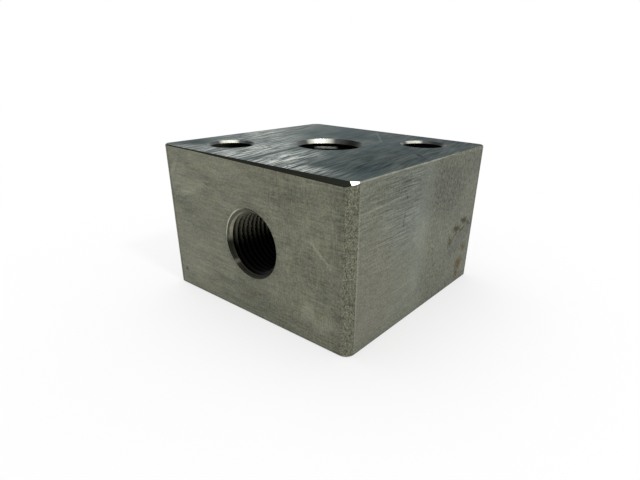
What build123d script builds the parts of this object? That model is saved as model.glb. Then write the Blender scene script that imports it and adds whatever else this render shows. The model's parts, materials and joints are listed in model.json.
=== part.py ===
from build123d import *
from math import cos, radians, sin, tan
import os

# Unloader block: one piece of steel, cut from square bar and drilled for a screw-in
# cartridge valve, a pipe port and two mounting bolts. Sizes are in millimetres.
# The origin is at the centre of the underside, +Z is up and the pipe port faces -Y.

# The block
block_width = 76.2
block_depth = 74.6
block_height = 47.6
corner_radius = 3.0
edge_break = 0.3

# The hand-ground chamfer on the front top edge widens from left to right
front_chamfer_left = 0.05
front_chamfer_right = 1.35

# The small facet filed over the corner where that chamfer ends
facet_direction = 35.0
facet_inset = 1.15
facet_drop = 0.7

# The rough bevel on the right top edge starts behind the middle and deepens to the back
bevel_start = -8.0
bevel_inset = 0.5
bevel_drop = 1.3

# Two through holes for half-inch mounting bolts, on one diagonal
bolt_spacing_x = 44.45
bolt_spacing_y = 44.45
bolt_hole_diameter = 13.5
bolt_mouth_diameter = 15.0
mouth_break = 0.4

# The cartridge cavity in the top: a countersink, a 7/8-14 thread and two stepped bores
cavity_rim_diameter = 22.4
cavity_thread_bore = 20.64
cavity_thread_depth = 16.0
land_bore = 19.05
land_depth = 33.0
nose_bore = 15.88
nose_depth = 41.0
flow_bore = 12.7
lead_in_angle = 30.0

# The 1/2-14 pipe port in the front face, right of its middle, drilled for its tap and on into the cavity
port_offset = 1.6
port_height = 23.7
port_rim_diameter = 21.4
port_tap_bore = 18.26
port_tap_depth = 22.0
port_passage_bore = 11.9
drill_point_angle = 118.0
countersink_angle = 90.0

half_width = block_width / 2
half_depth = block_depth / 2


def step_height(wide, narrow, half_angle):
    """Axial length of a cone between two diameters, for its angle to the axis."""
    return (wide - narrow) / 2 / tan(radians(half_angle))


# Each plane's normal points at the metal that its cut takes away
front_chamfer_slope = (front_chamfer_right - front_chamfer_left) / block_width
front_chamfer_plane = Plane(
    origin=(-half_width, -half_depth, block_height - front_chamfer_left),
    z_dir=(front_chamfer_slope, -1, 1),
)

facet_x = sin(radians(facet_direction))
facet_y = -cos(radians(facet_direction))
facet_slope = facet_drop / facet_inset
facet_plane = Plane(
    origin=(
        half_width - corner_radius + corner_radius * facet_x,
        -half_depth + corner_radius + corner_radius * facet_y,
        block_height - facet_drop,
    ),
    z_dir=(facet_slope * facet_x, facet_slope * facet_y, 1),
)

bevel_plane = Plane(
    origin=(half_width, bevel_start, block_height),
    z_dir=(bevel_drop / bevel_inset, bevel_drop / (half_depth - bevel_start), 1),
)

# Radius and depth below the top face at each change of the cavity's section
thread_start = step_height(cavity_rim_diameter, cavity_thread_bore, lead_in_angle)
land_start = cavity_thread_depth + step_height(cavity_thread_bore, land_bore, lead_in_angle)
nose_start = land_depth + step_height(land_bore, nose_bore, lead_in_angle)
flow_start = nose_depth + step_height(nose_bore, flow_bore, drill_point_angle / 2)
cavity_section = [
    (0, 0),
    (cavity_rim_diameter / 2, 0),
    (cavity_thread_bore / 2, thread_start),
    (cavity_thread_bore / 2, cavity_thread_depth),
    (land_bore / 2, land_start),
    (land_bore / 2, land_depth),
    (nose_bore / 2, nose_start),
    (nose_bore / 2, nose_depth),
    (flow_bore / 2, flow_start),
    (flow_bore / 2, block_height),
    (0, block_height),
]

# Depth behind the front face and radius at each change of the pipe port's section
port_thread_start = step_height(port_rim_diameter, port_tap_bore, countersink_angle / 2)
passage_start = port_tap_depth + step_height(port_tap_bore, port_passage_bore, drill_point_angle / 2)
port_section = [
    (0, 0),
    (0, port_rim_diameter / 2),
    (port_thread_start, port_tap_bore / 2),
    (port_tap_depth, port_tap_bore / 2),
    (passage_start, port_passage_bore / 2),
    (half_depth, port_passage_bore / 2),
    (half_depth, 0),
]

with BuildPart() as block_body:
    with BuildSketch():
        RectangleRounded(block_width, block_depth, corner_radius)
    extrude(amount=block_height)

    # Break the outer edges of the machined top and bottom, then grind the top ones further
    bottom_and_top = block_body.faces().filter_by(Plane.XY)
    chamfer(bottom_and_top.edges(), length=edge_break)
    split(bisect_by=front_chamfer_plane, keep=Keep.BOTTOM)
    split(bisect_by=facet_plane, keep=Keep.BOTTOM)
    split(bisect_by=bevel_plane, keep=Keep.BOTTOM)

    # Bore the cartridge cavity down through the block
    with BuildSketch(Plane.XZ):
        with BuildLine():
            Polyline([(radius, block_height - depth) for radius, depth in cavity_section], close=True)
        make_face()
    revolve(axis=Axis.Z, mode=Mode.SUBTRACT)

    # Drill the pipe port from the front to meet the cavity
    with BuildSketch(Plane.YZ.offset(port_offset)):
        with BuildLine():
            port_points = [(depth - half_depth, port_height + radius) for depth, radius in port_section]
            Polyline(port_points, close=True)
        make_face()
    revolve(axis=Axis((port_offset, 0, port_height), (0, 1, 0)), mode=Mode.SUBTRACT)

    # Drill and countersink the bolt holes
    with Locations(
        (-bolt_spacing_x / 2, -bolt_spacing_y / 2, block_height),
        (bolt_spacing_x / 2, bolt_spacing_y / 2, block_height),
    ):
        CounterSinkHole(
            radius=bolt_hole_diameter / 2,
            counter_sink_radius=bolt_mouth_diameter / 2,
            counter_sink_angle=countersink_angle,
        )

    # Deburr the holes' mouths in the underside
    underside = block_body.faces().sort_by(Axis.Z)[0]
    chamfer([edge for mouth in underside.inner_wires() for edge in mouth.edges()], length=mouth_break)

block_body.part.label = "block_body"

os.makedirs("parts", exist_ok=True)
export_step(block_body.part, "parts/block_body.step")
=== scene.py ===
import json
from math import atan2, ceil, cos, degrees, hypot, pi, radians, sin, tan

import bmesh
import bpy
from mathutils import Matrix, Vector


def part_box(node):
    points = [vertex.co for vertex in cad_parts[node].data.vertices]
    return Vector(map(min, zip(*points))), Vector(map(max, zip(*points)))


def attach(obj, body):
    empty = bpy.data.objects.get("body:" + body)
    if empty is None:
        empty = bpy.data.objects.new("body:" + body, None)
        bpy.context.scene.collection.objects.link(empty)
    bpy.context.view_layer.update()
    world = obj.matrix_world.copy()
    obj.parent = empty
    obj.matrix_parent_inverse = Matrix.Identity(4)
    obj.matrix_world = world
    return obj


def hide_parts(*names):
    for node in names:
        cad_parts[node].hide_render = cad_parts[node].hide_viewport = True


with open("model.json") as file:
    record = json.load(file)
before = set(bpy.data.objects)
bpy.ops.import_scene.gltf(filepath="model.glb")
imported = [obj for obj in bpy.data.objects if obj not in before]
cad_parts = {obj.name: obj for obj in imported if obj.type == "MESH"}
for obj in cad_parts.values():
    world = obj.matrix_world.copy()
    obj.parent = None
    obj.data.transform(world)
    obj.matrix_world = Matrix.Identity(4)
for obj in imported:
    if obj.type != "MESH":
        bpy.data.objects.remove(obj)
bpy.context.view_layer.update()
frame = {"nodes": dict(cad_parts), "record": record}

# A steel unloader block: ground on top, brushed at the sides, threaded in two holes and a little rusty.
# Lengths are in millimetres and become metres where Blender takes them.
mm = 0.001
mounts = {mount["name"]: mount for mount in frame["record"]["mounts"]}
low, high = [Vector(corner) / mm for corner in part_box("block_body")]

# The photograph's camera, solved from the block's outlines
picture_width = 640
picture_height = 480
focal_length_pixels = 457.826
optical_centre_x = 334.608
optical_centre_y = 278.81
camera_place = Vector((97.972, -118.977, 72.458))
camera_azimuth = radians(38.465)
camera_elevation = radians(25.552)
camera_roll = radians(-1.218)

# Blender's camera: its lens is worked out from the sensor's width, so any width will do
sensor_width = 36.0
nearest_seen = 5.0

# Threads: sixty-degree grooves at fourteen to the inch, their radii measured to the grooves' bottoms
thread_pitch = 25.4 / 14
thread_half_angle = radians(30)
pipe_thread_radius = 10.64
pipe_thread_taper = 1 / 32
pipe_thread_depth = 20.0
pipe_root_flat = 0.06
cavity_thread_radius = 11.11
cavity_thread_depth = 15.8
cavity_root_flat = thread_pitch / 8

# The taps that cut them: the core's gap to the bore, the ridge's steps in a turn, and the share of the
# room beside the ridge that keeps its foot clear of the next turn
tap_clearance = 0.25
steps_per_turn = 72
foot_margin = 0.02

# Where the photograph shows one groove of each thread: on a side of the hole, at a depth below its face
port_groove_side = Vector((-1, 0, 0))
port_groove_depth = 0.2
cavity_groove_side = Vector((-0.63, 0.777, 0))
cavity_groove_depth = 1.95

# Points nearer than the first are joined, and edges sharper than the second stay sharp
weld_distance = 0.0005
smooth_angle = radians(18)

# Where one face of the block ends and the next begins
corner_radius = 3.0
mouth_depth = 1.6
mouth_reach = 12.5
edge_depth = 2.0
face_margin = 0.1
hole_margin = 0.5
crest_margin = 0.08

# How far a face's normal leans, from 0 to 1: along a hole's axis at a wall or a countersink, and up, to the
# front or to the right at the top's broken edges
flat_tolerance = 0.02
wall_lean = 0.2
mouth_lean = (0.4, 0.8)
port_mouth_lean = (0.6, 0.8)
slight_lean = 0.1
chamfer_lean = 0.6
facet_lean = 0.75
bevel_lean = 0.8
right_edge_lean = 0.3

# How much of a metal's brightening at a glancing view these two keep
top_edge_tint = 0.3
chamfer_edge_tint = 0.6

# Textures: a size so long that it leaves an axis out, how a seed shifts noise along each axis, how far
# noise is spread, the radius at which a swirl's arcs keep their length, and the darkest that shading goes
unlimited = 1e6
seed_shift = (1.0, 1.7, 0.6)
noise_spread = 5.0
swirl_radius = 20.0
least_brightness = 0.05

# Daylight in the port: the depths where it starts to fade and ends, and how it blurs at the middle height
port_light_full = 14.0
port_light_end = 20.0
port_light_blur = 4.0

# Daylight in the cavity: the depths where it starts to fade and ends, and the side that it falls on
cavity_light_full = 3.4
cavity_light_end = 4.6
cavity_light_angle = 136


def lerp(first, second, share):
    """The value that lies a share of the way from the first to the second."""
    return first + (second - first) * share


def mouth_centre(mount):
    """Where a hole's axis meets the block's outer face."""
    centre = Vector(mount["pos_m"]) / mm
    opens_upward = mount["axis"][2] > 0.5
    return Vector((centre.x, centre.y, high.z)) if opens_upward else Vector((centre.x, low.y, centre.z))


def port_middle():
    """The pipe port's centre in the front face, across and up."""
    centre = mouth_centre(mounts["pipe_port"])
    return centre.x, centre.z


def bolt_centres():
    """Where the two bolt holes stand, on one diagonal."""
    reach = mounts["bolt_holes"]["dims"]["pcd_mm"] / 2 * cos(radians(45))
    return [(-reach, -reach), (reach, reach)]


class Nodes:
    """The nodes of a material or of the world. Lengths are in millimetres of the block's own frame."""

    def __init__(self, owner):
        self.owner = owner
        owner.use_nodes = True
        self.tree = owner.node_tree
        self.tree.nodes.clear()

    def feed(self, socket, value):
        """Links an input to an output, or sets it to a plain value."""
        if isinstance(value, bpy.types.NodeSocket):
            self.tree.links.new(value, socket)
        else:
            socket.default_value = value

    def add(self, kind, inputs=(), **settings):
        """A new node with its settings made and its inputs fed."""
        node = self.tree.nodes.new(kind)
        for name, value in settings.items():
            setattr(node, name, value)
        for key, value in dict(inputs).items():
            self.feed(node.inputs[key], value)
        return node

    def math(self, operation, *values):
        return self.add("ShaderNodeMath", enumerate(values), operation=operation).outputs[0]

    def product(self, first, second):
        return self.math("MULTIPLY", first, second)

    def larger(self, first, second):
        return self.math("MAXIMUM", first, second)

    def vector_math(self, operation, inputs, output="Vector"):
        return self.add("ShaderNodeVectorMath", inputs, operation=operation).outputs[output]

    def place(self, order="xyz"):
        """Position on the block, with its axes taken in the order that suits the face."""
        position = self.add("ShaderNodeTexCoord").outputs["Object"]
        scaled = self.vector_math("SCALE", {0: position, "Scale": 1 / mm})
        axes = self.add("ShaderNodeSeparateXYZ", {0: scaled}).outputs
        picked = [axes["xyz".index(axis)] for axis in order]
        return self.add("ShaderNodeCombineXYZ", enumerate(picked)).outputs[0]

    def local(self, place, centre=(0, 0, 0), size=(1, 1, 1), turn=0.0):
        """Place measured from a centre, turned in the face and divided by a size."""
        inputs = {"Vector": place, "Location": centre, "Rotation": (0, 0, radians(turn)), "Scale": size}
        return self.add("ShaderNodeMapping", inputs, vector_type="TEXTURE").outputs[0]

    def swirl(self, place, centre):
        """Place as distance along and away from arcs about a centre."""
        around = self.local(place, (*centre, 0))
        across, up, _ = self.add("ShaderNodeSeparateXYZ", {0: around}).outputs
        squares = self.math("ADD", self.math("POWER", across, 2.0), self.math("POWER", up, 2.0))
        radius = self.math("SQRT", squares)
        along = self.product(self.math("ARCTAN2", up, across), swirl_radius)
        return self.add("ShaderNodeCombineXYZ", {0: along, 1: radius}).outputs[0]

    def grain(self, place, size, turn=0.0, seed=0.0, detail=3.0, roughness=0.55):
        """Noise about nought, most of it within one each way, drawn out to a size."""
        spot = self.local(place, tuple(seed * shift for shift in seed_shift), size, turn)
        inputs = {"Vector": spot, "Scale": 1.0, "Detail": detail, "Roughness": roughness}
        noise = self.add("ShaderNodeTexNoise", inputs).outputs[0]
        return self.math("MULTIPLY_ADD", noise, noise_spread, -noise_spread / 2)

    def step(self, value, start, end, low=0.0, high=1.0):
        """A smooth change from low to high while the value goes from start to end."""
        inputs = {"Value": value, "From Min": start, "From Max": end, "To Min": low, "To Max": high}
        return self.add("ShaderNodeMapRange", inputs, interpolation_type="SMOOTHSTEP").outputs[0]

    def patch(self, place, centre, size, turn=0.0, softness=0.6):
        """A soft-edged oval."""
        spot = self.local(place, (*centre, 0), (*size, unlimited), turn)
        reach = self.vector_math("LENGTH", {0: spot}, "Value")
        return self.step(reach, 1 - softness, 1 + softness, 1.0, 0.0)

    def scratch(self, place, start, end, width):
        """A thin oval from one point to another."""
        centre = (lerp(start[0], end[0], 0.5), lerp(start[1], end[1], 0.5))
        run = (end[0] - start[0], end[1] - start[1])
        turn = degrees(atan2(run[1], run[0]))
        return self.patch(place, centre, (hypot(*run) / 2, width / 2), turn)

    def facing(self, place, centre, angle):
        """How nearly a spot lies in one direction from a centre: one there, minus one opposite."""
        away = self.local(place, (*centre, 0), (1, 1, unlimited))
        direction = self.vector_math("NORMALIZE", {0: away})
        aim = (cos(radians(angle)), sin(radians(angle)), 0)
        return self.vector_math("DOT_PRODUCT", {0: direction, 1: aim}, "Value")

    def axis(self, place, number):
        return self.add("ShaderNodeSeparateXYZ", {0: place}).outputs[number]

    def total(self, *terms):
        """The sum of (amount, value) pairs."""
        result = 0.0
        for amount, value in terms:
            result = self.math("MULTIPLY_ADD", value, amount, result)
        return result

    def blend(self, share, first, second):
        """Goes from the first colour to the second as the share rises to one."""
        node = self.add("ShaderNodeMix", data_type="RGBA", clamp_factor=True)
        inputs = {"Factor": share, "A": first, "B": second}
        for socket in node.inputs:
            if socket.enabled and socket.name in inputs:
                self.feed(socket, inputs[socket.name])
        return next(socket for socket in node.outputs if socket.enabled)

    def shade(self, colour, change):
        """A colour made lighter or darker by a share of itself."""
        brightness = self.larger(self.math("ADD", change, 1.0), least_brightness)
        plain = colour if isinstance(colour, bpy.types.NodeSocket) else colour[:3]
        return self.vector_math("SCALE", {0: plain, "Scale": brightness})

    def metal(self, colour, roughness, height=None, relief=0.02, edge_tint=1.0):
        """Ends the material as metal. Relief is the height of its texture in millimetres."""
        inputs = {"Base Color": colour, "Metallic": 1.0, "Roughness": roughness}
        inputs["Specular Tint"] = (edge_tint, edge_tint, edge_tint, 1.0)
        if height is not None:
            bump = {"Height": height, "Distance": relief * mm, "Strength": 1.0}
            inputs["Normal"] = self.add("ShaderNodeBump", bump).outputs[0]
        shader = self.add("ShaderNodeBsdfPrincipled", inputs)
        self.add("ShaderNodeOutputMaterial", {"Surface": shader.outputs[0]})
        return self.owner


def new_material(name):
    """The nodes of a new material."""
    return Nodes(bpy.data.materials.new(name))


def linear(red, green, blue):
    """A colour as it is read from a screen, from 0 to 255, as the linear colour that nodes use."""
    return tuple(((part / 255 + 0.055) / 1.055) ** 2.4 for part in (red, green, blue)) + (1.0,)


def plain_side(name, order):
    """Olive-grey sawn and rubbed side with level brushing, for the faces that the photograph hides."""
    nodes = new_material(name)
    place = nodes.place(order)
    level = nodes.grain(place, (9, 0.35, 9), turn=2, seed=3)
    cross = nodes.grain(place, (4, 0.3, 9), turn=38, seed=7)
    clouds = nodes.grain(place, (9, 6, 9), turn=15, seed=13, detail=3)
    speckle = nodes.grain(place, (0.6, 0.5, 9), seed=17, detail=2)
    # Painted shade along the foot
    foot_shade = nodes.step(nodes.axis(place, 1), 6.0, 0.0)
    change = nodes.total(
        (0.15, level),
        (0.07, cross),
        (0.08, clouds),
        (0.20, speckle),
        (-0.10, foot_shade),
    )
    # The olive tint is partly the steel's own and partly a painted reflection of the ground
    warmth = nodes.step(nodes.grain(place, (8, 6, 9), seed=23, detail=3), -1.0, 1.0)
    tint = nodes.blend(warmth, linear(110, 112, 99), linear(114, 114, 98))
    roughness = nodes.math("MULTIPLY_ADD", level, 0.05, 0.47)
    relief = nodes.total((0.6, level), (0.4, cross))
    return nodes.metal(nodes.shade(tint, change), roughness, relief, 0.012)


def front_side():
    """Port face: level brushing with arcs at the upper left and crossed strokes on the right half."""
    nodes = new_material("front_side")
    place = nodes.place("xzy")
    across = nodes.axis(place, 0)
    height = nodes.axis(place, 1)
    level = nodes.grain(place, (6, 0.4, 9), turn=1, seed=3)
    streaks = nodes.grain(place, (7, 1.0, 9), turn=-2, seed=5)
    upright = nodes.grain(place, (0.4, 3, 9), turn=3, seed=7)
    slanted = nodes.grain(place, (5, 0.6, 9), turn=-38, seed=9)
    arcs = nodes.grain(nodes.swirl(place, (-24, 20)), (7, 0.6, 9), seed=11)
    clouds = nodes.grain(place, (7, 4, 9), turn=8, seed=13, detail=3)
    speckle = nodes.grain(place, (0.7, 0.5, 9), seed=17, detail=3, roughness=0.7)
    right_half = nodes.step(across, -2.0, 14.0)
    upper_left = nodes.patch(place, (-26.0, 36.0), (16.0, 13.0), softness=0.6)
    low_right = nodes.patch(place, (27.0, 16.0), (11.0, 13.0), softness=0.6)
    change = nodes.total(
        # Brushing and speckle
        (0.17, level),
        (0.13, streaks),
        (0.16, nodes.product(upright, right_half)),
        (0.10, nodes.product(slanted, low_right)),
        (0.11, nodes.product(arcs, upper_left)),
        (0.06, clouds),
        (0.26, speckle),
        # Painted shade along the foot, and darker along the sides
        (-0.14, nodes.step(height, 8.0, 0.0)),
        (-0.30, nodes.step(height, 0.9, 0.3)),
        (-0.16, nodes.step(across, 30.5, 35.5)),
        (-0.40, nodes.step(across, -34.6, -35.4)),
        # Rubbed and dull places and scratches, from the upper left to the lower right
        (0.36, nodes.patch(place, (-26.5, 34.6), (5.5, 1.3), turn=14)),
        (0.18, nodes.patch(place, (-25.0, 37.4), (7.5, 1.6), turn=6)),
        (0.5, nodes.scratch(place, (36.2, 46.0), (36.2, 42.9), 0.4)),
        (0.16, nodes.patch(place, (-12.0, 44.0), (12.0, 2.4), turn=-4)),
        (0.30, nodes.scratch(place, (-36.0, 37.5), (-30.5, 44.0), 1.5)),
        (0.16, nodes.scratch(place, (-37.0, 33.0), (-27.0, 44.0), 4.0)),
        (0.16, nodes.patch(place, (-8.0, 33.5), (7.0, 1.2), turn=-14)),
        (-0.18, nodes.patch(place, (-31.0, 30.5), (6.0, 2.8), turn=-10)),
        (-0.10, nodes.patch(place, (-22.0, 25.5), (8.0, 2.4), turn=-16)),
        (0.14, nodes.patch(place, (-26.0, 9.5), (6.0, 3.4), turn=10)),
        (0.10, nodes.patch(place, (-24.0, 18.0), (9.0, 2.0), turn=-8)),
        (-0.20, nodes.patch(place, (4.0, 7.0), (14.0, 3.4), turn=-6)),
        (-0.14, nodes.patch(place, (16.0, 41.5), (9.0, 3.0), turn=-4)),
        (-0.10, nodes.patch(place, (25.0, 21.0), (7.0, 3.0), turn=-38)),
        (0.18, nodes.patch(place, (22.5, 34.6), (2.6, 1.6))),
        (0.34, nodes.scratch(place, (25.0, 30.2), (31.2, 25.2), 1.0)),
        (0.34, nodes.patch(place, (23.8, 9.4), (2.3, 3.4))),
        (0.26, nodes.patch(place, (29.5, 6.8), (3.8, 2.0), turn=25)),
        (-0.50, nodes.patch(place, (-32.4, 6.1), (0.8, 0.7))),
        (-0.10, nodes.patch(place, port_middle(), (12.0, 12.0), softness=0.07)),
    )
    blotches = nodes.grain(place, (4, 3, 9), seed=23)
    warmth = nodes.step(nodes.total((0.5, clouds), (0.6, blotches)), -1.2, 1.2)
    # The olive tint is partly the steel's own and partly a painted reflection of the ground
    tint = nodes.blend(warmth, linear(110, 112, 99), linear(115, 115, 98))
    roughness = nodes.math("MULTIPLY_ADD", level, 0.05, 0.47)
    relief = nodes.total((0.6, level), (0.4, upright))
    return nodes.metal(nodes.shade(tint, change), roughness, relief, 0.012)


# Rust on the right face: each mark's centre, half size, lean and depth of colour, and each crack's two ends
rust_marks = (
    ((27.4, 23.3), (2.6, 1.2), -20, 1.0),
    ((31.0, 21.6), (2.2, 0.8), -30, 0.75),
    ((22.3, 21.5), (2.8, 1.2), -12, 1.0),
    ((25.0, 20.0), (3.0, 0.8), -35, 0.55),
    ((18.0, 18.0), (1.5, 2.4), 20, 0.7),
    ((29.8, 13.0), (2.6, 1.8), -10, 0.7),
    ((27.4, 7.3), (2.8, 2.4), 0, 1.0),
    ((26.7, 3.6), (1.7, 2.4), 0, 0.8),
)
rust_cracks = (
    ((30.0, 24.6), (26.5, 22.4)),
    ((26.5, 22.4), (21.0, 20.6)),
    ((29.5, 21.8), (24.5, 19.4)),
    ((24.0, 21.0), (17.5, 16.6)),
)


def rusted_share(nodes, place):
    """How rusted a spot of the right face is, with ragged outlines."""
    ragged = nodes.grain(place, (1.3, 0.8, 9), turn=-25, seed=43, detail=4, roughness=0.75)
    rusted = 0.0
    for centre, size, turn, depth in rust_marks:
        mark = nodes.patch(place, centre, size, turn, softness=0.95)
        rusted = nodes.larger(rusted, nodes.product(mark, depth))
    for start, end in rust_cracks:
        crack = nodes.scratch(place, start, end, 0.8)
        rusted = nodes.larger(rusted, nodes.product(crack, 0.75))
    broken = nodes.product(rusted, nodes.math("MULTIPLY_ADD", ragged, 0.5, 0.85))
    return nodes.step(broken, 0.18, 0.85)


def right_side():
    """Right face: level strokes in front, a bluish stretch, then mottled steel with rust at the back."""
    nodes = new_material("right_side")
    place = nodes.place("yzx")
    across = nodes.axis(place, 0)
    height = nodes.axis(place, 1)
    level = nodes.grain(place, (7, 0.42, 9), turn=1, seed=31, detail=2)
    long = nodes.grain(place, (12, 0.9, 9), turn=-3, seed=32)
    slanted = nodes.grain(place, (2.4, 0.7, 9), turn=-40, seed=33)
    mottle = nodes.grain(place, (1.1, 1.3, 9), turn=20, seed=34, detail=3, roughness=0.65)
    upright = nodes.grain(place, (0.5, 5, 9), turn=2, seed=35)
    clouds = nodes.grain(place, (5, 6, 9), seed=37, detail=3)
    speckle = nodes.grain(place, (0.55, 0.45, 9), seed=39, detail=2)
    front_part = nodes.step(across, -2.0, -9.0)
    brushed = nodes.product(front_part, nodes.step(height, 22.0, 31.0, 0.35, 1.0))
    brushed = nodes.product(brushed, nodes.step(across, -31.0, -16.0, 0.7, 1.3))
    rear_part = nodes.step(across, -4.0, 6.0)
    change = nodes.total(
        # Brushing at the front, mottling at the back, speckle all over
        (0.30, nodes.product(level, brushed)),
        (0.09, nodes.product(long, brushed)),
        (0.20, nodes.product(mottle, rear_part)),
        (0.15, nodes.product(slanted, rear_part)),
        (0.12, nodes.product(upright, rear_part)),
        (0.06, mottle),
        (0.05, clouds),
        (0.24, speckle),
        # Painted shade along the foot, darker along the rear edge, and a painted highlight along the front
        # one
        (-0.12, nodes.step(height, 5.0, 0.0)),
        (-0.25, nodes.step(height, 0.9, 0.3)),
        (-0.25, nodes.step(across, 33.4, 34.4)),
        (0.35, nodes.scratch(place, (-34.7, 0.0), (-34.7, 47.6), 0.7)),
        # Rubbed and dull places and scratches in the front part
        (-0.16, nodes.patch(place, (-16.0, 42.5), (14.0, 5.0))),
        (0.12, nodes.patch(place, (-9.0, 33.5), (4.0, 2.4))),
        (0.16, nodes.patch(place, (-4.0, 27.5), (5.0, 4.0), turn=-50)),
        (0.15, nodes.patch(place, (-5.5, 13.0), (2.4, 5.0), turn=20)),
        (0.24, nodes.scratch(place, (-34.0, 39.4), (-15.0, 40.2), 0.7)),
        (0.20, nodes.scratch(place, (-27.0, 36.8), (-12.5, 36.2), 0.7)),
        (0.20, nodes.scratch(place, (-20.0, 44.5), (-2.0, 45.4), 0.7)),
        (0.22, nodes.scratch(place, (-17.5, 12.2), (-8.5, 12.4), 0.6)),
        (-0.30, nodes.scratch(place, (-13.2, 40.9), (-13.0, 38.9), 0.9)),
        (-0.30, nodes.scratch(place, (-13.3, 35.8), (-13.9, 31.6), 1.0)),
        # Dull and lighter places in the rear part
        (-0.20, nodes.patch(place, (13.0, 37.0), (11.0, 9.0), turn=-15)),
        (-0.12, nodes.patch(place, (30.0, 43.0), (7.0, 5.0))),
        (-0.10, rear_part),
        (0.06, nodes.patch(place, (28.0, 34.0), (5.0, 6.5))),
        (0.10, nodes.patch(place, (6.0, 24.0), (12.0, 7.0))),
        (-0.18, nodes.patch(place, (26.0, 17.0), (9.0, 3.0), turn=25)),
    )
    upper_blue = nodes.patch(place, (-10.0, 37.0), (11.0, 13.0), softness=0.7)
    lower_blue = nodes.patch(place, (-4.0, 17.0), (4.0, 12.0), softness=0.8)
    blue = nodes.larger(upper_blue, nodes.product(lower_blue, 0.35))
    pinkish = nodes.patch(place, (-27.0, 17.0), (11.0, 16.0), softness=0.7)
    # The olive tints are partly the steel's own and partly a painted reflection of the ground
    olive = nodes.step(nodes.total((0.6, mottle), (0.6, clouds)), -1.2, 1.2)
    worn = nodes.blend(olive, linear(107, 110, 96), linear(111, 112, 97))
    tint = nodes.blend(rear_part, linear(117, 120, 106), worn)
    tint = nodes.blend(pinkish, tint, linear(120, 119, 106))
    tint = nodes.blend(blue, tint, linear(112, 117, 108))

    rust = rusted_share(nodes, place)
    lower_marks = nodes.step(height, 17.0, 10.0)
    rust_colour = nodes.blend(lower_marks, linear(74, 62, 42), linear(106, 84, 48))
    tint = nodes.blend(nodes.product(rust, 0.75), nodes.shade(tint, change), rust_colour)
    roughness = nodes.math("MULTIPLY_ADD", rust, 0.3, 0.47)
    relief = nodes.total((0.5, level), (0.4, mottle), (1.0, rust))
    return nodes.metal(tint, roughness, relief, 0.012)


# Where the top is rubbed and carries a painted glint: centre, half size, how much
rubbed_and_glint_places = (
    ((-9.0, -24.0), (6.5, 15.0), 1.0),
    ((6.5, -28.0), (7.0, 11.0), 1.0),
    ((15.0, -35.0), (10.0, 4.0), 0.9),
    ((-31.0, -2.0), (7.0, 15.0), 0.8),
    ((-18.0, -33.0), (14.0, 5.0), 0.65),
    ((-18.0, -9.0), (7.0, 13.0), 0.55),
    ((-33.5, 20.0), (5.0, 15.0), 0.28),
)


def rubbed_and_glint_share(nodes, place):
    """How far a spot of the top is rubbed, which also sets where its painted glint falls."""
    worn = 0.0
    for centre, size, depth in rubbed_and_glint_places:
        spot = nodes.patch(place, centre, size, turn=10, softness=0.8)
        worn = nodes.larger(worn, nodes.product(spot, depth))
    return worn


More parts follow.
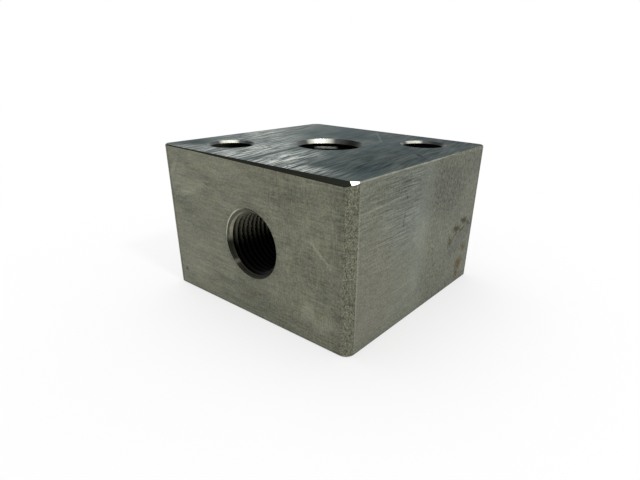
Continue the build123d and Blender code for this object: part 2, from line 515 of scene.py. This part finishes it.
def ground_top():
    """Bluish ground top, streaked from front to back, rubbed at the front and along the left, with a
    painted glint in strokes there.
    """
    nodes = new_material("ground_top")
    place = nodes.place("xyz")
    streaks = nodes.grain(place, (1.1, 16, 9), turn=5, seed=51)
    fine = nodes.grain(place, (0.36, 8, 9), turn=8, seed=53, detail=3)
    slanted = nodes.grain(place, (0.6, 11, 9), turn=13, seed=54, detail=3)
    clouds = nodes.grain(place, (6, 12, 9), turn=10, seed=55, detail=3)
    pits = nodes.grain(place, (0.9, 2.2, 9), turn=10, seed=57, detail=2)
    across = nodes.axis(place, 0)
    back = nodes.axis(place, 1)
    left_front = nodes.step(nodes.total((-0.9, across), (-0.4, back)), -8.0, 14.0)
    worn = rubbed_and_glint_share(nodes, place)
    change = nodes.total(
        # Strokes and broad changes
        (0.14, streaks),
        (0.28, fine),
        (0.18, slanted),
        (0.12, clouds),
        (0.09, left_front),
        (0.16, worn),
        # Dull places
        (-0.38, nodes.patch(place, (-33.5, -30.0), (5.0, 7.0), softness=0.8)),
        (-0.24, nodes.patch(place, (24.0, -12.0), (12.0, 18.0), softness=0.8)),
        (-0.16, nodes.patch(place, (2.0, 22.0), (22.0, 10.0), softness=0.8)),
        (-0.20, nodes.step(back, 30.0, 37.0)),
        # Scratches, dark and light
        (-0.45, nodes.scratch(place, (29.0, 5.6), (34.3, 1.1), 1.0)),
        (0.5, nodes.scratch(place, (-3.0, 32.0), (10.3, 15.4), 0.7)),
        (0.3, nodes.scratch(place, (10.3, 15.4), (15.7, 18.5), 1.2)),
        (-0.5, nodes.scratch(place, (-19.5, -29.5), (-11.0, -35.0), 0.9)),
        (-0.4, nodes.scratch(place, (-23.0, -30.5), (-17.0, -35.5), 0.8)),
    )
    change = nodes.math("ADD", change, nodes.step(across, 38.0, 2.0, -0.10, 0.12))
    # The bluish tint is partly the steel's own and partly a painted reflection of the sky
    pale = nodes.step(nodes.total((0.8, clouds), (0.5, streaks)), -1.0, 1.6)
    tint = nodes.shade(nodes.blend(pale, linear(98, 110, 112), linear(112, 120, 116)), change)

    # Rubbed places carry a painted glint in strokes, with dark pits and one dark streak between them
    strokes = nodes.total((0.4, streaks), (0.95, fine), (0.6, slanted))
    painted_glint = nodes.product(worn, nodes.step(strokes, -0.55, 0.75))
    pitted = nodes.product(nodes.step(pits, 0.5, 1.1), nodes.step(worn, 0.4, 0.9))
    dark_streak = nodes.scratch(place, (-2.8, -13.0), (0.2, -37.0), 1.6)
    lost = nodes.larger(nodes.product(pitted, 0.75), nodes.product(dark_streak, 0.8))
    painted_glint = nodes.product(painted_glint, nodes.math("SUBTRACT", 1.0, lost))
    # Painted glint: near-white in the strokes of the rubbed places
    tint = nodes.blend(painted_glint, tint, linear(242, 244, 237))
    tint = nodes.blend(nodes.product(lost, 0.6), tint, linear(62, 70, 70))
    roughness = nodes.math("MULTIPLY_ADD", fine, 0.05, 0.4)
    relief = nodes.total((0.6, streaks), (0.4, fine))
    return nodes.metal(tint, roughness, relief, 0.01, top_edge_tint)


def shaded_chamfer():
    """Front top chamfer: smooth and drawn out along the edge, painted dark as a painted reflection of dark
    surroundings.
    """
    nodes = new_material("shaded_chamfer")
    place = nodes.place("xyz")
    streaks = nodes.grain(place, (12, 0.2, 0.2), seed=61)
    # Painted shade: the chamfer's dark colour stands in for a dark reflection
    tint = nodes.shade(linear(33, 34, 29), nodes.total((0.25, streaks)))
    return nodes.metal(tint, 0.35, streaks, 0.004, chamfer_edge_tint)


def filed_facet():
    """Fresh filed steel on the corner, painted near-white: partly its own brightness and partly a painted
    reflection of the light overhead.
    """
    nodes = new_material("filed_facet")
    place = nodes.place("xyz")
    strokes = nodes.grain(place, (0.2, 3, 1), turn=35, seed=63)
    tint = nodes.shade(linear(240, 240, 234), nodes.total((0.06, strokes)))
    return nodes.metal(tint, 0.3, strokes, 0.004)


def broken_edge(name, colour):
    """Thin broken edges, uneven along their length, in a painted-highlight or a painted-shade colour."""
    nodes = new_material(name)
    place = nodes.place("xyz")
    patches = nodes.grain(place, (3, 3, 3), seed=65, detail=3)
    return nodes.metal(nodes.shade(colour, nodes.total((0.28, patches))), 0.45)


def rough_edge():
    """Corner rounds and the rear bevel: coarse and dark with light specks."""
    nodes = new_material("rough_edge")
    place = nodes.place("xyz")
    coarse = nodes.grain(place, (0.8, 0.8, 0.9), seed=71, detail=5, roughness=0.8)
    fine = nodes.grain(place, (0.3, 0.3, 0.45), seed=73, detail=3, roughness=0.7)
    upright = nodes.grain(place, (0.5, 0.5, 5), seed=75)
    specks = nodes.step(fine, 0.6, 1.2)
    change = nodes.total((0.36, coarse), (0.72, fine), (0.14, upright), (0.3, specks))
    tint = nodes.blend(nodes.step(coarse, -1.0, 1.0), linear(107, 108, 91), linear(119, 119, 105))
    relief = nodes.total((0.6, coarse), (0.4, fine))
    return nodes.metal(nodes.shade(tint, change), 0.55, relief, 0.08)


def port_mouth():
    """The pipe port's countersink: painted light on its upper left, a small painted glint, a ring line, and
    painted shade round the rest and at the bottom.
    """
    nodes = new_material("port_mouth")
    place = nodes.place("xzy")
    across, up = port_middle()
    painted_light = nodes.step(nodes.facing(place, (across, up), 142), 0.66, 0.86)
    inward = nodes.axis(place, 2)
    inner = nodes.step(inward, low.y + 0.5, low.y + 0.7)
    past_rim = nodes.step(inward, low.y + 0.45, low.y + 0.58)
    before_thread = nodes.step(inward, low.y + 0.74, low.y + 0.6)
    ring_line = nodes.product(past_rim, before_thread)
    # A small painted glint low on the left of the mouth
    painted_glint_tick = nodes.patch(place, (across - 7.1, up - 7.3), (0.8, 0.6))
    rings = nodes.grain(place, (3, 3, 0.12), seed=81, detail=2)
    patches = nodes.grain(place, (2, 2, 2), seed=83, detail=3)
    # Painted light on the upper left, painted shade on the rest
    lit = nodes.blend(inner, linear(170, 172, 157), linear(124, 121, 105))
    tint = nodes.blend(painted_light, linear(41, 40, 34), lit)
    change = nodes.total((0.14, rings), (0.18, patches), (3.2, painted_glint_tick), (-0.6, ring_line))
    return nodes.metal(nodes.shade(tint, change), 0.34, rings, 0.01)


def turned_mouth():
    """Countersinks in the top and underside: a painted glint on the left of the back, painted shade on the
    right.
    """
    nodes = new_material("turned_mouth")
    place = nodes.place("xyz")
    rings = nodes.grain(place, (3, 3, 0.12), seed=85, detail=2)
    patches = nodes.grain(place, (2, 2, 2), seed=87, detail=3)
    painted_shade = 0.0
    painted_light = 0.0
    for middle in [(0, 0), *bolt_centres()]:
        near = nodes.patch(place, middle, (mouth_reach, mouth_reach), softness=0.02)
        right = nodes.step(nodes.facing(place, middle, 45), 0.15, 0.85)
        left = nodes.step(nodes.facing(place, middle, 147), 0.86, 0.98)
        painted_shade = nodes.larger(painted_shade, nodes.product(near, right))
        painted_light = nodes.larger(painted_light, nodes.product(near, left))
    # Painted shade on the right of each mouth and a painted glint on the left of its back
    tint = nodes.blend(painted_shade, linear(78, 82, 80), linear(26, 26, 22))
    tint = nodes.blend(painted_light, tint, linear(206, 207, 194))
    change = nodes.total((0.12, rings), (0.12, patches))
    return nodes.metal(nodes.shade(tint, change), 0.32, rings, 0.006)


def port_light(nodes, place):
    """One in the upper part of the port, where daylight reaches in."""
    port_up = port_middle()[1]
    shallow = nodes.step(nodes.axis(place, 1), low.y + port_light_end, low.y + port_light_full)
    upper = nodes.step(nodes.axis(place, 2), port_up - port_light_blur, port_up + port_light_blur)
    return nodes.product(shallow, upper)


def cavity_light(nodes, place):
    """One on the back left of the cavity's wall, just below its countersink."""
    across, back, _ = mouth_centre(mounts["cartridge_cavity"])
    height = nodes.axis(place, 2)
    near_top = nodes.step(height, high.z - cavity_light_end, high.z - cavity_light_full)
    back_left = nodes.step(nodes.facing(place, (across, back), cavity_light_angle), 0.90, 0.995)
    return nodes.product(near_top, back_left)


def thread_crest():
    """The lands between the thread's grooves: pale where the light reaches them."""
    nodes = new_material("thread_crest")
    place = nodes.place("xyz")
    patches = nodes.grain(place, (2, 2, 2), seed=89, detail=3)
    lit = nodes.larger(port_light(nodes, place), cavity_light(nodes, place))
    tint = nodes.blend(lit, linear(20, 21, 18), linear(248, 249, 234))
    return nodes.metal(nodes.shade(tint, nodes.total((0.25, patches))), 0.42, patches, 0.01)


def bored_wall():
    """Grooves and plain bores: brownish steel, painted dark as shade away from the light."""
    nodes = new_material("bored_wall")
    place = nodes.place("xyz")
    rings = nodes.grain(place, (9, 0.5, 0.3), seed=91)
    patches = nodes.grain(place, (3, 3, 3), seed=93, detail=3)
    change = nodes.total((0.12, rings), (0.18, patches))
    # Painted light where daylight reaches into the port, painted shade elsewhere
    tint = nodes.blend(port_light(nodes, place), linear(13, 14, 12), linear(84, 83, 72))
    return nodes.metal(nodes.shade(tint, change), 0.38, rings, 0.015)


def new_object(name, mesh):
    """An object in the scene that takes over a bmesh."""
    data = bpy.data.meshes.new(name)
    mesh.to_mesh(data)
    mesh.free()
    made = bpy.data.objects.new(name, data)
    bpy.context.scene.collection.objects.link(made)
    return made


def close_end(mesh, loop, tip):
    """Closes a loop of vertices with a fan of triangles about a tip."""
    for index, vertex in enumerate(loop):
        following = loop[(index + 1) % len(loop)]
        if following is not vertex:
            mesh.faces.new((vertex, following, tip))


def helical_tap(name, axis_start, axis_direction, side, start, end, core, root_radius, root_flat):
    """A solid that cuts one right-hand thread: a core with a ridge wound round it.

    Distances run along the axis from axis_start. The ridge crosses the given side at start, and
    then once a pitch. It reaches root_radius(distance) and fades into the core over its first
    and last turns.
    """
    turns = ceil((end - start) / thread_pitch)
    count = turns * steps_per_turn
    slope = 1 / tan(thread_half_angle)
    other = axis_direction.cross(side)
    mesh = bmesh.new()

    def point(distance, outward=None, radius=0.0):
        """A vertex on the axis or out from it."""
        spot = axis_start + axis_direction * distance
        if outward is not None:
            spot = spot + outward * radius
        return mesh.verts.new(spot * mm)

    def profile(distance):
        """The ridge's section as offsets along the axis and radii, from the turn before to the next."""
        fade = min(1.0, (distance - start) / thread_pitch, (end - distance) / thread_pitch)
        height = max(0.0, fade) * (root_radius(distance) - core)
        foot = min(height / slope + root_flat / 2, thread_pitch / 2)
        foot_radius = core + max(0.0, height - (foot - root_flat / 2) * slope)
        foot_edge = lerp(foot, thread_pitch / 2, foot_margin)
        return (
            (-thread_pitch / 2, foot_radius if foot >= thread_pitch / 2 else core),
            (-foot_edge, foot_radius),
            (-root_flat / 2, core + height),
            (root_flat / 2, core + height),
            (foot_edge, foot_radius),
        )

    rows = []
    for index in range(count + 1):
        turn = index / steps_per_turn
        centre = start + turn * thread_pitch
        outward = side * cos(turn * 2 * pi) + other * sin(turn * 2 * pi)
        rows.append([point(centre + offset, outward, radius) for offset, radius in profile(centre)])

    # The skin: each row joins the next, and ends on the row one turn further on
    last = count - steps_per_turn
    for index in range(last):
        near = rows[index] + [rows[index + steps_per_turn][0]]
        far = rows[index + 1] + [rows[index + 1 + steps_per_turn][0]]
        for column in range(len(near) - 1):
            mesh.faces.new((near[column], near[column + 1], far[column + 1], far[column]))

    # Each end closes about a point on the axis
    first_loop = [rows[index][0] for index in range(steps_per_turn + 1)] + rows[0][:0:-1]
    last_loop = rows[last][1:] + [rows[index][0] for index in range(count, last - 1, -1)]
    close_end(mesh, first_loop, point(start))
    close_end(mesh, last_loop, point(start + (turns - 0.5) * thread_pitch))

    for vertex in [vertex for vertex in mesh.verts if not vertex.link_faces]:
        mesh.verts.remove(vertex)
    bmesh.ops.recalc_face_normals(mesh, faces=mesh.faces)
    return new_object(name, mesh)


def cut(block, tap):
    """Takes a tap's shape out of the block."""
    modifier = block.modifiers.new("cut", "BOOLEAN")
    modifier.operation = "DIFFERENCE"
    modifier.solver = "MANIFOLD"
    modifier.object = tap
    bpy.context.view_layer.update()
    shape = bpy.data.meshes.new_from_object(block.evaluated_get(bpy.context.evaluated_depsgraph_get()))
    block.modifiers.clear()
    block.data = shape
    bpy.data.objects.remove(tap)


def copy_of_block():
    """The CAD block's points and faces as a mesh of its own, without the stored normals."""
    mesh = bmesh.new()
    mesh.from_mesh(frame["nodes"]["block_body"].data)
    bmesh.ops.remove_doubles(mesh, verts=mesh.verts, dist=weld_distance * mm)
    mesh.verts.index_update()
    places = [vertex.co for vertex in mesh.verts]
    faces = [[vertex.index for vertex in face.verts] for face in mesh.faces]
    data = bpy.data.meshes.new("unloader_block")
    data.from_pydata(places, [], faces)
    mesh.free()
    block = bpy.data.objects.new("unloader_block", data)
    bpy.context.scene.collection.objects.link(block)
    return block


def thread_the_holes(block):
    """Cuts the pipe thread and the cavity's thread, which the CAD block has as plain bores."""
    port = mounts["pipe_port"]
    port_tap = helical_tap(
        "port_tap",
        mouth_centre(port),
        -Vector(port["axis"]),
        port_groove_side,
        start=port_groove_depth - 2 * thread_pitch,
        end=pipe_thread_depth,
        core=port["dims"]["r_mm"] - tap_clearance,
        root_radius=lambda depth: pipe_thread_radius - pipe_thread_taper * max(0.0, depth),
        root_flat=pipe_root_flat,
    )
    cut(block, port_tap)
    cavity = mounts["cartridge_cavity"]
    cavity_tap = helical_tap(
        "cavity_tap",
        mouth_centre(cavity),
        -Vector(cavity["axis"]),
        cavity_groove_side.normalized(),
        start=cavity_groove_depth - thread_pitch,
        end=cavity_thread_depth,
        core=cavity["dims"]["r_mm"] - tap_clearance,
        root_radius=lambda depth: cavity_thread_radius,
        root_flat=cavity_root_flat,
    )
    cut(block, cavity_tap)


def flat_side(centre, normal):
    """Names the flat side of the block that a face belongs to, if any."""
    sides = (
        ("top", normal.z, high.z - centre.z),
        ("underside", -normal.z, centre.z - low.z),
        ("front", -normal.y, centre.y - low.y),
        ("back", normal.y, high.y - centre.y),
        ("right", normal.x, high.x - centre.x),
        ("left", -normal.x, centre.x - low.x),
    )
    for name, outward, depth in sides:
        if outward > 1 - flat_tolerance and depth < face_margin:
            return name
    return None


def port_wall(centre, normal):
    """Names the finish of a face in the pipe port, if it is in there."""
    port = mounts["pipe_port"]
    depth = centre.y - low.y
    away = mouth_centre(port) - centre
    reach = hypot(away.x, away.z)
    if depth > corner_radius + pipe_thread_depth or reach > pipe_thread_radius + hole_margin:
        return None
    if port_mouth_lean[0] < -normal.y < port_mouth_lean[1] and depth < mouth_depth:
        return "port_mouth"
    on_crest = abs(normal.y) < wall_lean and reach < port["dims"]["r_mm"] + crest_margin
    return "crest" if on_crest else "bore"


def upright_hole_wall(centre, normal):
    """Names the finish of a face in the cavity or a bolt hole, if it is in one."""
    inset = min(centre.x - low.x, high.x - centre.x, centre.y - low.y, high.y - centre.y)
    if inset < corner_radius + hole_margin:
        return None
    top_depth = high.z - centre.z
    near_mouth = min(top_depth, centre.z - low.z) < mouth_depth
    if mouth_lean[0] < abs(normal.z) < mouth_lean[1] and near_mouth:
        return "mouth"
    crest_radius = mounts["cartridge_cavity"]["dims"]["r_mm"] + crest_margin
    on_crest = abs(normal.z) < wall_lean and hypot(centre.x, centre.y) < crest_radius
    return "crest" if on_crest and top_depth < cavity_thread_depth else "bore"


def edge_finish(centre, normal):
    """Names the finish of a face along the block's outer edges."""
    if normal.z > slight_lean and high.z - centre.z < edge_depth:
        if normal.y < -chamfer_lean and abs(normal.x) < slight_lean:
            return "chamfer"
        if normal.z > facet_lean and abs(normal.x) > slight_lean:
            return "facet"
        if normal.x > bevel_lean:
            return "rough"
        # Broken edges that face right take the painted highlight, the others the painted shade
        return "edge" if normal.x > right_edge_lean else "shaded_edge"
    # Other slanted edge faces take the painted shade
    return "rough" if abs(normal.z) < slight_lean else "shaded_edge"


def finish_of_face(centre, normal):
    """Names the finish of a face from where it lies and which way it looks."""
    for sort in (flat_side, port_wall, upright_hole_wall):
        name = sort(centre, normal)
        if name:
            return name
    return edge_finish(centre, normal)


def dress(block):
    """Gives each face its finish and the edges their smoothness."""
    finishes = {
        "front": front_side(),
        "back": plain_side("back_side", "xzy"),
        "left": plain_side("left_side", "yzx"),
        "underside": plain_side("underside", "xyz"),
        "right": right_side(),
        "top": ground_top(),
        "chamfer": shaded_chamfer(),
        "facet": filed_facet(),
        # One steel for the broken edges, as a painted-highlight copy and a painted-shade copy
        "edge": broken_edge("edge", linear(138, 140, 128)),
        "shaded_edge": broken_edge("shaded_edge", linear(66, 68, 60)),
        "rough": rough_edge(),
        "port_mouth": port_mouth(),
        "mouth": turned_mouth(),
        "crest": thread_crest(),
        "bore": bored_wall(),
    }
    names = list(finishes)
    block.data.materials.clear()
    for material in finishes.values():
        block.data.materials.append(material)
    for face in block.data.polygons:
        face.material_index = names.index(finish_of_face(Vector(face.center) / mm, face.normal))
    block.data.shade_smooth()
    block.data.set_sharp_from_angle(angle=smooth_angle)
    weighted = block.modifiers.new("weighted", "WEIGHTED_NORMAL")
    weighted.keep_sharp = True
    weighted.weight = 100


def build_block():
    """The threaded, finished block that stands for the CAD block."""
    block = copy_of_block()
    thread_the_holes(block)
    dress(block)
    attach(block, "root")
    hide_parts("block_body")


# The floor is pale and fades to the white of the background
floor_radius = 3000.0
floor_glow = 0.62
floor_paper = 0.86
floor_fade_start = 100.0
floor_fade_end = 280.0
floor_sides = 96


def sees_background(nodes):
    """One for the camera's rays and for reflected and passed-through ones."""
    path = nodes.add("ShaderNodeLightPath").outputs
    direct = nodes.larger(path["Is Camera Ray"], path["Is Glossy Ray"])
    return nodes.larger(direct, path["Is Transmission Ray"])


def build_floor():
    """A wide pale disc under the block."""
    mesh = bmesh.new()
    bmesh.ops.create_circle(mesh, cap_ends=True, segments=floor_sides, radius=floor_radius * mm)
    floor = new_object("floor", mesh)
    nodes = new_material("floor_paper")
    place = nodes.place("xyz")
    distance = nodes.vector_math("LENGTH", {0: place}, "Value")
    far = nodes.step(distance, floor_fade_start, floor_fade_end, floor_glow, 1.0)
    share = nodes.product(far, sees_background(nodes))
    paper = nodes.add("ShaderNodeBsdfDiffuse", {"Color": (floor_paper, floor_paper, floor_paper, 1.0)})
    glow = nodes.add("ShaderNodeEmission", {"Strength": 1.0})
    mixed = nodes.add("ShaderNodeMixShader", {0: share, 1: paper.outputs[0], 2: glow.outputs[0]})
    nodes.add("ShaderNodeOutputMaterial", {"Surface": mixed.outputs[0]})
    floor.data.materials.append(nodes.owner)


# The light: an even white surround, a soft lamp overhead and a small one that glints in the holes' mouths
surround_strength = 0.8
overhead_watts = 2.0
overhead_size = 700.0
overhead_place = Vector((-250.0, 100.0, 750.0))
glint_watts = 1.4
glint_size = 120.0
glint_place = Vector((585.0, -86.0, 660.0))


def build_lamp(name, watts, size, place):
    """A round soft lamp that looks at the block."""
    data = bpy.data.lights.new(name, "AREA")
    data.energy = watts
    data.shape = "DISK"
    data.size = size * mm
    lamp = bpy.data.objects.new(name, data)
    lamp.location = place * mm
    lamp.rotation_euler = (-place).to_track_quat("-Z", "Y").to_euler()
    bpy.context.scene.collection.objects.link(lamp)


def build_light():
    """The surround, which is full white where it is seen or mirrored, and the two lamps."""
    world = bpy.data.worlds.new("studio")
    bpy.context.scene.world = world
    world.cycles.sampling_method = "NONE"
    nodes = Nodes(world)
    brightness = {"Value": sees_background(nodes), "To Min": surround_strength, "To Max": 1.0}
    strength = nodes.add("ShaderNodeMapRange", brightness).outputs[0]
    surround = nodes.add("ShaderNodeBackground", {"Color": (1, 1, 1, 1), "Strength": strength})
    nodes.add("ShaderNodeOutputWorld", {"Surface": surround.outputs[0]})
    build_lamp("softbox", overhead_watts, overhead_size, overhead_place)
    build_lamp("glint_lamp", glint_watts, glint_size, glint_place)


def build_camera():
    """Puts the camera where the photograph was taken from."""
    forward = Vector((
        -sin(camera_azimuth) * cos(camera_elevation),
        cos(camera_azimuth) * cos(camera_elevation),
        -sin(camera_elevation),
    ))
    level = forward.cross(Vector((0, 0, 1))).normalized()
    down = forward.cross(level)
    right = level * cos(camera_roll) + down * sin(camera_roll)
    up = level * sin(camera_roll) - down * cos(camera_roll)
    data = bpy.data.cameras.new("camera")
    data.sensor_width = sensor_width
    data.lens = focal_length_pixels / picture_width * sensor_width
    data.shift_x = (picture_width / 2 - optical_centre_x) / picture_width
    data.shift_y = (optical_centre_y - picture_height / 2) / picture_width
    data.clip_start = nearest_seen * mm
    camera = bpy.data.objects.new("camera", data)
    camera.matrix_world = Matrix((right, up, -forward)).transposed().to_4x4()
    camera.matrix_world.translation = camera_place * mm
    bpy.context.scene.collection.objects.link(camera)
    bpy.context.scene.camera = camera


build_camera()
build_light()
build_floor()
build_block()
bpy.context.scene.view_settings.view_transform = "Standard"
